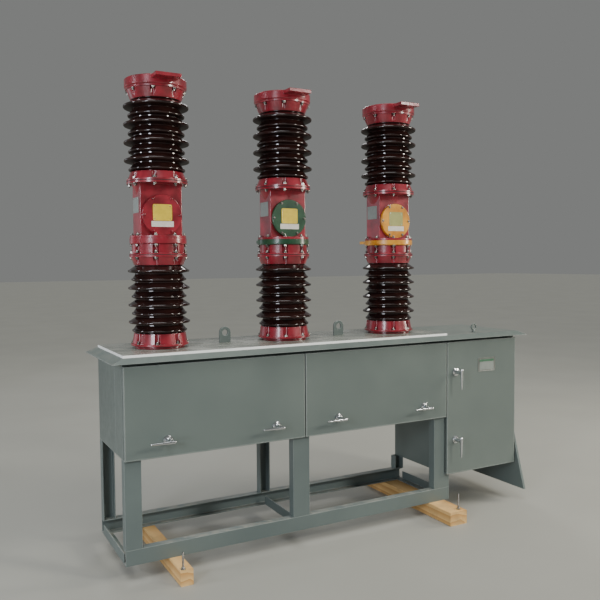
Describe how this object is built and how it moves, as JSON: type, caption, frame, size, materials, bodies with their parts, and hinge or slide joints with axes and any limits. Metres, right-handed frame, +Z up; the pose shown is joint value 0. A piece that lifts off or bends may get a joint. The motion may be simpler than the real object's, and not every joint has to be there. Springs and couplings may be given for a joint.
{
  "type": "vacuum circuit breaker",
  "caption": "Outdoor three-pole vacuum circuit breaker: ribbed porcelain poles with terminals on a steel cabinet with hinged doors, stand and packing timbers.",
  "frame": {"origin": "on the ground under the middle of the roof's length and depth", "axes": "+X along the front from the first pole to the mechanism box, +Y to the back, +Z up"},
  "size_m": [2.555, 0.862, 2.383],
  "materials": {
    "stand_paint": "satin",
    "cabinet_paint": "satin",
    "door_paint": "satin",
    "plate_steel": "satin",
    "lug_steel": "satin",
    "handle_chrome": "polished",
    "casting_red": "gloss",
    "phase_green": "gloss",
    "phase_yellow": "gloss",
    "porcelain": "glazed",
    "timber": "sawn"
  },
  "bodies": {
    "breaker": {"front_legs": "stand_paint", "back_legs": "stand_paint", "front_beam": "stand_paint", "back_beam": "stand_paint", "cross_beams": "stand_paint", "right_end_leg": "stand_paint", "front_stiles": "cabinet_paint", "front_rails": "cabinet_paint", "left_end_panel": "cabinet_paint", "partition_wall": "cabinet_paint", "right_end_wall": "cabinet_paint", "back_panels": "cabinet_paint", "floor_panels": "cabinet_paint", "roof": "cabinet_paint", "left_skid": "timber", "right_skid": "timber", "top_plate": "plate_steel", "lifting_lugs": "lug_steel", "base_flanges": "casting_red", "bushing_flanges": "casting_red", "top_flanges": "casting_red", "neck_flanges": "casting_red", "pole_1_lower_insulator": "porcelain", "pole_1_upper_insulator": "porcelain", "pole_1_neck": "casting_red", "pole_1_housing": "casting_red", "pole_1_top_terminal": "casting_red", "pole_1_phase_ring": "casting_red", "pole_1_cover": "casting_red", "pole_2_lower_insulator": "porcelain", "pole_2_upper_insulator": "porcelain", "pole_2_neck": "casting_red", "pole_2_housing": "casting_red", "pole_2_top_terminal": "casting_red", "pole_2_phase_ring": "phase_green", "pole_2_cover": "phase_green", "pole_3_lower_insulator": "porcelain", "pole_3_upper_insulator": "porcelain", "pole_3_neck": "casting_red", "pole_3_housing": "casting_red", "pole_3_top_terminal": "casting_red", "pole_3_phase_ring": "phase_yellow", "pole_3_cover": "phase_yellow"},
    "left_door": {"left_door": "door_paint", "left_door_rosettes": "handle_chrome"},
    "right_door": {"right_door": "door_paint", "right_door_rosettes": "handle_chrome"},
    "mechanism_door": {"mechanism_door": "door_paint", "mechanism_door_rosettes": "handle_chrome"},
    "left_door_left_lever": {"left_door_left_lever": "handle_chrome"},
    "left_door_right_lever": {"left_door_right_lever": "handle_chrome"},
    "right_door_left_lever": {"right_door_left_lever": "handle_chrome"},
    "right_door_right_lever": {"right_door_right_lever": "handle_chrome"},
    "mechanism_lower_lever": {"mechanism_lower_lever": "handle_chrome"},
    "mechanism_upper_lever": {"mechanism_upper_lever": "handle_chrome"}
  },
  "joints": [
    {"name": "left_door_hinge", "type": "hinge", "parent": "breaker", "child": "left_door", "pos_m": [0, -0.245, 1.005], "axis": [-1, 0, 0], "range_deg": [0, 75]},
    {"name": "right_door_hinge", "type": "hinge", "parent": "breaker", "child": "right_door", "pos_m": [0, -0.245, 1.005], "axis": [-1, 0, 0], "range_deg": [0, 75]},
    {"name": "mechanism_door_hinge", "type": "hinge", "parent": "breaker", "child": "mechanism_door", "pos_m": [1.1995, -0.245, 0.5], "axis": [0, 0, 1], "range_deg": [0, 90]},
    {"name": "left_door_left_lever_turn", "type": "hinge", "parent": "left_door", "child": "left_door_left_lever", "pos_m": [-1.0145, -0.301, 0.654], "axis": [0, -1, 0], "range_deg": [0, 90]},
    {"name": "left_door_right_lever_turn", "type": "hinge", "parent": "left_door", "child": "left_door_right_lever", "pos_m": [-0.4435, -0.301, 0.654], "axis": [0, -1, 0], "range_deg": [0, 90]},
    {"name": "right_door_left_lever_turn", "type": "hinge", "parent": "right_door", "child": "right_door_left_lever", "pos_m": [-0.0715, -0.301, 0.654], "axis": [0, -1, 0], "range_deg": [0, 90]},
    {"name": "right_door_right_lever_turn", "type": "hinge", "parent": "right_door", "child": "right_door_right_lever", "pos_m": [0.5015, -0.301, 0.654], "axis": [0, -1, 0], "range_deg": [0, 90]},
    {"name": "mechanism_lower_lever_turn", "type": "hinge", "parent": "mechanism_door", "child": "mechanism_lower_lever", "pos_m": [0.7335, -0.301, 0.435], "axis": [0, -1, 0], "range_deg": [0, 90]},
    {"name": "mechanism_upper_lever_turn", "type": "hinge", "parent": "mechanism_door", "child": "mechanism_upper_lever", "pos_m": [0.7335, -0.301, 0.836], "axis": [0, -1, 0], "range_deg": [0, 90]}
  ]
}
